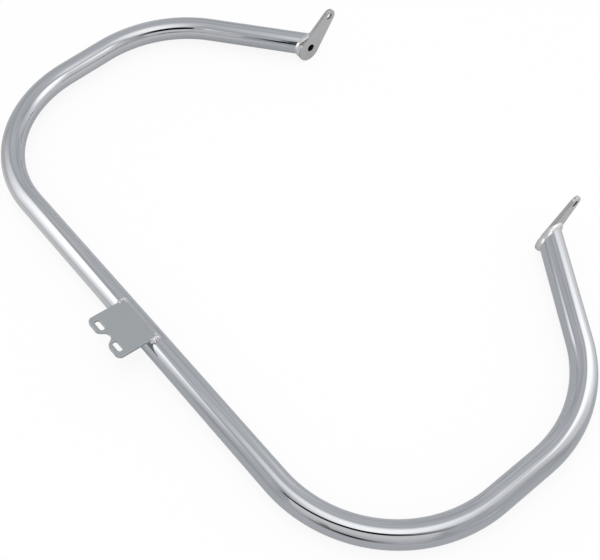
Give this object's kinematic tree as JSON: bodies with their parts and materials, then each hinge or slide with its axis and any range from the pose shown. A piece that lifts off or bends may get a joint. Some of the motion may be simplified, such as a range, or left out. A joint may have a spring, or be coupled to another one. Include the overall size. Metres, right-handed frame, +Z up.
{
  "type": "motorcycle crash bars",
  "caption": "Chromed engine guard: a round tube bent into a flat open loop, with a slotted mounting plate welded on its cross tube and drilled teardrop tabs closing its ends.",
  "frame": {"origin": "middle of the bounding box, at floor height under the lowest points of the end tabs", "axes": "+X across the motorcycle towards right_end_tab, +Y from the cross tube to the end tabs, +Z up, square to the plane of the tube's loop, on the side on which the mounting plate lies"},
  "size_m": [0.8842, 0.5622, 0.068],
  "materials": {
    "tube_chrome": "bright polished chrome",
    "plate_chrome": "chrome over flat steel plate",
    "tab_chrome": "chrome over flat steel plate",
    "weld_chrome": "chrome over weld bead"
  },
  "bodies": {
    "root": {"guard_tube": "tube_chrome", "mounting_plate": "plate_chrome", "plate_weld": "weld_chrome", "right_end_tab": "tab_chrome", "left_end_tab": "tab_chrome", "right_tab_weld": "weld_chrome", "left_tab_weld": "weld_chrome"}
  },
  "joints": []
}
